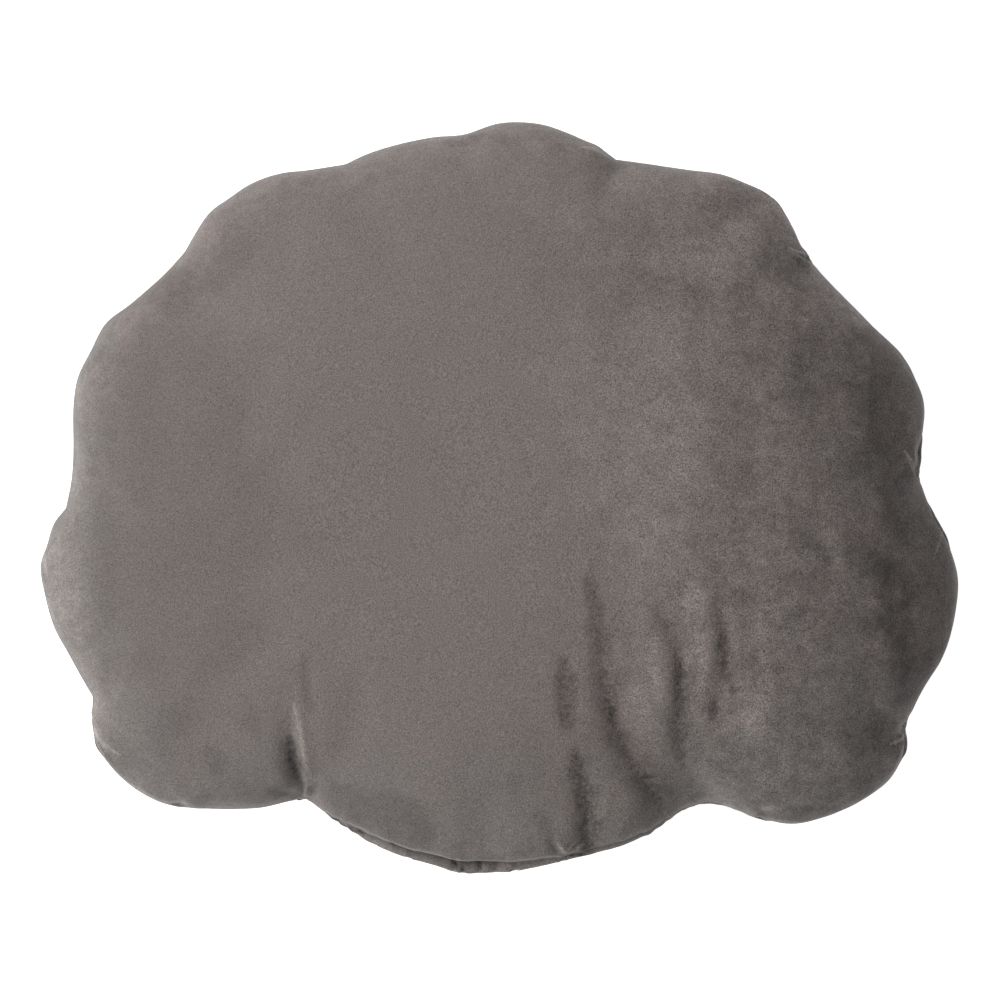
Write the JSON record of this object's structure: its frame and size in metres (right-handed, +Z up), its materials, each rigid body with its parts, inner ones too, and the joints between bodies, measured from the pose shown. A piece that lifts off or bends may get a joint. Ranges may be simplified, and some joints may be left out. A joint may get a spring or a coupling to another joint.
{
  "type": "shell cushion",
  "caption": "Stuffed velvet throw cushion in the form of a scallop shell, lying on its ribbed front with its plain back up.",
  "frame": {"origin": "on the floor, under the middle of the cushion's bounding box", "axes": "+X across the shell, +Y from its base to its crest, +Z up, from the ribbed front to the plain back"},
  "size_m": [0.49, 0.401, 0.142],
  "materials": {
    "velvet": "warm grey short-pile velvet, matt with a soft sheen at grazing angles"
  },
  "bodies": {
    "root": {"cushion": "velvet"}
  },
  "joints": []
}
